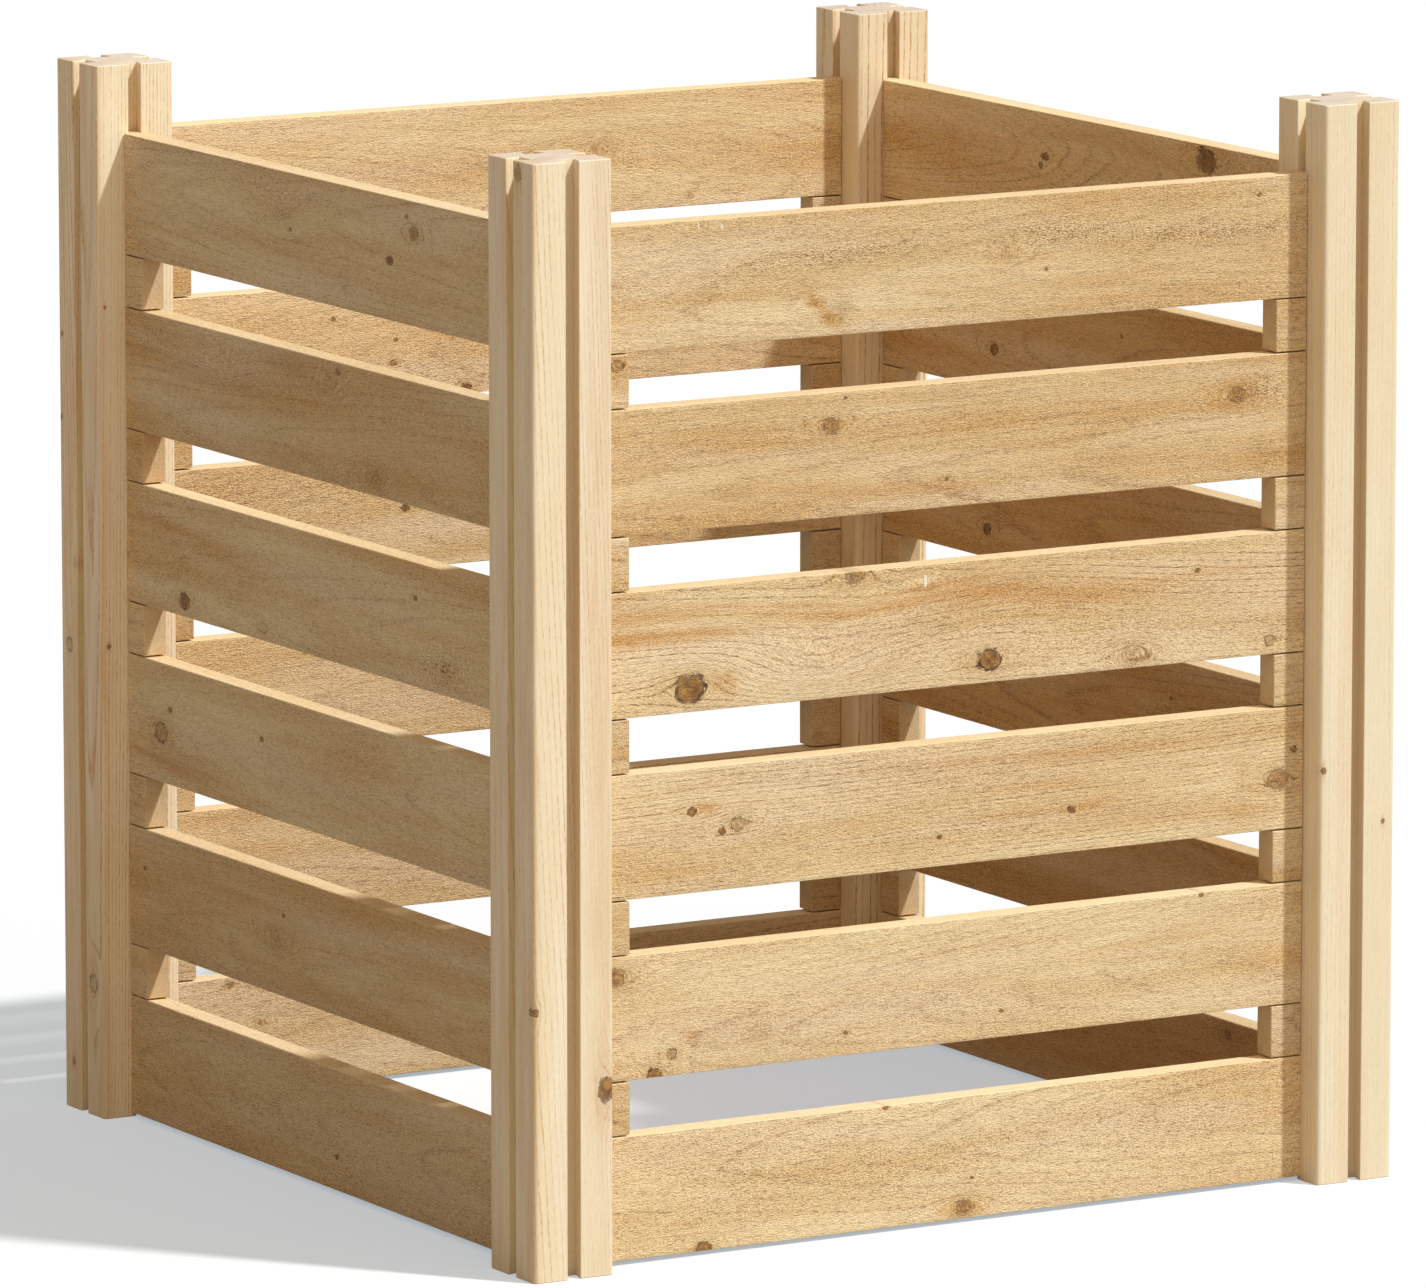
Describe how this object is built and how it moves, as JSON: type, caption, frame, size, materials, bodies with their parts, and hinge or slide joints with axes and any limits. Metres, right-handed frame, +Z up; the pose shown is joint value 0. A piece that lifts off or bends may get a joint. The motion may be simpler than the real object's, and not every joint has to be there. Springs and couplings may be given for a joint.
{
  "type": "wooden composter",
  "caption": "Open square compost bin: slatted walls of boards and spacer blocks that slide by dovetail tongues into grooved corner posts.",
  "frame": {"origin": "middle of the footprint on the ground", "axes": "+Z up, -Y out of the front wall, +X out of the right wall"},
  "size_m": [0.712, 0.712, 0.785],
  "materials": {
    "post_wood": "planed",
    "board_wood": "rough sawn",
    "spacer_wood": "rough sawn"
  },
  "bodies": {
    "post_frame": {"front_left_post": "post_wood", "front_right_post": "post_wood", "back_right_post": "post_wood", "back_left_post": "post_wood", "front_board_1": "board_wood", "right_board_1": "board_wood", "back_board_1": "board_wood", "left_board_1": "board_wood"},
    "front_spacers_1": {"front_spacers_1": "spacer_wood"},
    "front_board_2": {"front_board_2": "board_wood"},
    "front_spacers_2": {"front_spacers_2": "spacer_wood"},
    "front_board_3": {"front_board_3": "board_wood"},
    "front_spacers_3": {"front_spacers_3": "spacer_wood"},
    "front_board_4": {"front_board_4": "board_wood"},
    "front_spacers_4": {"front_spacers_4": "spacer_wood"},
    "front_board_5": {"front_board_5": "board_wood"},
    "front_spacers_5": {"front_spacers_5": "spacer_wood"},
    "front_board_6": {"front_board_6": "board_wood"},
    "right_spacers_1": {"right_spacers_1": "spacer_wood"},
    "right_board_2": {"right_board_2": "board_wood"},
    "right_spacers_2": {"right_spacers_2": "spacer_wood"},
    "right_board_3": {"right_board_3": "board_wood"},
    "right_spacers_3": {"right_spacers_3": "spacer_wood"},
    "right_board_4": {"right_board_4": "board_wood"},
    "right_spacers_4": {"right_spacers_4": "spacer_wood"},
    "right_board_5": {"right_board_5": "board_wood"},
    "right_spacers_5": {"right_spacers_5": "spacer_wood"},
    "right_board_6": {"right_board_6": "board_wood"},
    "back_spacers_1": {"back_spacers_1": "spacer_wood"},
    "back_board_2": {"back_board_2": "board_wood"},
    "back_spacers_2": {"back_spacers_2": "spacer_wood"},
    "back_board_3": {"back_board_3": "board_wood"},
    "back_spacers_3": {"back_spacers_3": "spacer_wood"},
    "back_board_4": {"back_board_4": "board_wood"},
    "back_spacers_4": {"back_spacers_4": "spacer_wood"},
    "back_board_5": {"back_board_5": "board_wood"},
    "back_spacers_5": {"back_spacers_5": "spacer_wood"},
    "back_board_6": {"back_board_6": "board_wood"},
    "left_spacers_1": {"left_spacers_1": "spacer_wood"},
    "left_board_2": {"left_board_2": "board_wood"},
    "left_spacers_2": {"left_spacers_2": "spacer_wood"},
    "left_board_3": {"left_board_3": "board_wood"},
    "left_spacers_3": {"left_spacers_3": "spacer_wood"},
    "left_board_4": {"left_board_4": "board_wood"},
    "left_spacers_4": {"left_spacers_4": "spacer_wood"},
    "left_board_5": {"left_board_5": "board_wood"},
    "left_spacers_5": {"left_spacers_5": "spacer_wood"},
    "left_board_6": {"left_board_6": "board_wood"}
  },
  "joints": [
    {"name": "front_spacers_1_lift", "type": "slide", "parent": "post_frame", "child": "front_spacers_1", "axis": [0, 0, 1], "range_m": [0, 0.708]},
    {"name": "front_board_2_lift", "type": "slide", "parent": "front_spacers_1", "child": "front_board_2", "axis": [0, 0, 1], "range_m": [0, 0.6685]},
    {"name": "front_spacers_2_lift", "type": "slide", "parent": "front_board_2", "child": "front_spacers_2", "axis": [0, 0, 1], "range_m": [0, 0.5795]},
    {"name": "front_board_3_lift", "type": "slide", "parent": "front_spacers_2", "child": "front_board_3", "axis": [0, 0, 1], "range_m": [0, 0.54]},
    {"name": "front_spacers_3_lift", "type": "slide", "parent": "front_board_3", "child": "front_spacers_3", "axis": [0, 0, 1], "range_m": [0, 0.451]},
    {"name": "front_board_4_lift", "type": "slide", "parent": "front_spacers_3", "child": "front_board_4", "axis": [0, 0, 1], "range_m": [0, 0.4115]},
    {"name": "front_spacers_4_lift", "type": "slide", "parent": "front_board_4", "child": "front_spacers_4", "axis": [0, 0, 1], "range_m": [0, 0.3225]},
    {"name": "front_board_5_lift", "type": "slide", "parent": "front_spacers_4", "child": "front_board_5", "axis": [0, 0, 1], "range_m": [0, 0.283]},
    {"name": "front_spacers_5_lift", "type": "slide", "parent": "front_board_5", "child": "front_spacers_5", "axis": [0, 0, 1], "range_m": [0, 0.194]},
    {"name": "front_board_6_lift", "type": "slide", "parent": "front_spacers_5", "child": "front_board_6", "axis": [0, 0, 1], "range_m": [0, 0.1545]},
    {"name": "right_spacers_1_lift", "type": "slide", "parent": "post_frame", "child": "right_spacers_1", "axis": [0, 0, 1], "range_m": [0, 0.708]},
    {"name": "right_board_2_lift", "type": "slide", "parent": "right_spacers_1", "child": "right_board_2", "axis": [0, 0, 1], "range_m": [0, 0.6685]},
    {"name": "right_spacers_2_lift", "type": "slide", "parent": "right_board_2", "child": "right_spacers_2", "axis": [0, 0, 1], "range_m": [0, 0.5795]},
    {"name": "right_board_3_lift", "type": "slide", "parent": "right_spacers_2", "child": "right_board_3", "axis": [0, 0, 1], "range_m": [0, 0.54]},
    {"name": "right_spacers_3_lift", "type": "slide", "parent": "right_board_3", "child": "right_spacers_3", "axis": [0, 0, 1], "range_m": [0, 0.451]},
    {"name": "right_board_4_lift", "type": "slide", "parent": "right_spacers_3", "child": "right_board_4", "axis": [0, 0, 1], "range_m": [0, 0.4115]},
    {"name": "right_spacers_4_lift", "type": "slide", "parent": "right_board_4", "child": "right_spacers_4", "axis": [0, 0, 1], "range_m": [0, 0.3225]},
    {"name": "right_board_5_lift", "type": "slide", "parent": "right_spacers_4", "child": "right_board_5", "axis": [0, 0, 1], "range_m": [0, 0.283]},
    {"name": "right_spacers_5_lift", "type": "slide", "parent": "right_board_5", "child": "right_spacers_5", "axis": [0, 0, 1], "range_m": [0, 0.194]},
    {"name": "right_board_6_lift", "type": "slide", "parent": "right_spacers_5", "child": "right_board_6", "axis": [0, 0, 1], "range_m": [0, 0.1545]},
    {"name": "back_spacers_1_lift", "type": "slide", "parent": "post_frame", "child": "back_spacers_1", "axis": [0, 0, 1], "range_m": [0, 0.708]},
    {"name": "back_board_2_lift", "type": "slide", "parent": "back_spacers_1", "child": "back_board_2", "axis": [0, 0, 1], "range_m": [0, 0.6685]},
    {"name": "back_spacers_2_lift", "type": "slide", "parent": "back_board_2", "child": "back_spacers_2", "axis": [0, 0, 1], "range_m": [0, 0.5795]},
    {"name": "back_board_3_lift", "type": "slide", "parent": "back_spacers_2", "child": "back_board_3", "axis": [0, 0, 1], "range_m": [0, 0.54]},
    {"name": "back_spacers_3_lift", "type": "slide", "parent": "back_board_3", "child": "back_spacers_3", "axis": [0, 0, 1], "range_m": [0, 0.451]},
    {"name": "back_board_4_lift", "type": "slide", "parent": "back_spacers_3", "child": "back_board_4", "axis": [0, 0, 1], "range_m": [0, 0.4115]},
    {"name": "back_spacers_4_lift", "type": "slide", "parent": "back_board_4", "child": "back_spacers_4", "axis": [0, 0, 1], "range_m": [0, 0.3225]},
    {"name": "back_board_5_lift", "type": "slide", "parent": "back_spacers_4", "child": "back_board_5", "axis": [0, 0, 1], "range_m": [0, 0.283]},
    {"name": "back_spacers_5_lift", "type": "slide", "parent": "back_board_5", "child": "back_spacers_5", "axis": [0, 0, 1], "range_m": [0, 0.194]},
    {"name": "back_board_6_lift", "type": "slide", "parent": "back_spacers_5", "child": "back_board_6", "axis": [0, 0, 1], "range_m": [0, 0.1545]},
    {"name": "left_spacers_1_lift", "type": "slide", "parent": "post_frame", "child": "left_spacers_1", "axis": [0, 0, 1], "range_m": [0, 0.708]},
    {"name": "left_board_2_lift", "type": "slide", "parent": "left_spacers_1", "child": "left_board_2", "axis": [0, 0, 1], "range_m": [0, 0.6685]},
    {"name": "left_spacers_2_lift", "type": "slide", "parent": "left_board_2", "child": "left_spacers_2", "axis": [0, 0, 1], "range_m": [0, 0.5795]},
    {"name": "left_board_3_lift", "type": "slide", "parent": "left_spacers_2", "child": "left_board_3", "axis": [0, 0, 1], "range_m": [0, 0.54]},
    {"name": "left_spacers_3_lift", "type": "slide", "parent": "left_board_3", "child": "left_spacers_3", "axis": [0, 0, 1], "range_m": [0, 0.451]},
    {"name": "left_board_4_lift", "type": "slide", "parent": "left_spacers_3", "child": "left_board_4", "axis": [0, 0, 1], "range_m": [0, 0.4115]},
    {"name": "left_spacers_4_lift", "type": "slide", "parent": "left_board_4", "child": "left_spacers_4", "axis": [0, 0, 1], "range_m": [0, 0.3225]},
    {"name": "left_board_5_lift", "type": "slide", "parent": "left_spacers_4", "child": "left_board_5", "axis": [0, 0, 1], "range_m": [0, 0.283]},
    {"name": "left_spacers_5_lift", "type": "slide", "parent": "left_board_5", "child": "left_spacers_5", "axis": [0, 0, 1], "range_m": [0, 0.194]},
    {"name": "left_board_6_lift", "type": "slide", "parent": "left_spacers_5", "child": "left_board_6", "axis": [0, 0, 1], "range_m": [0, 0.1545]}
  ]
}
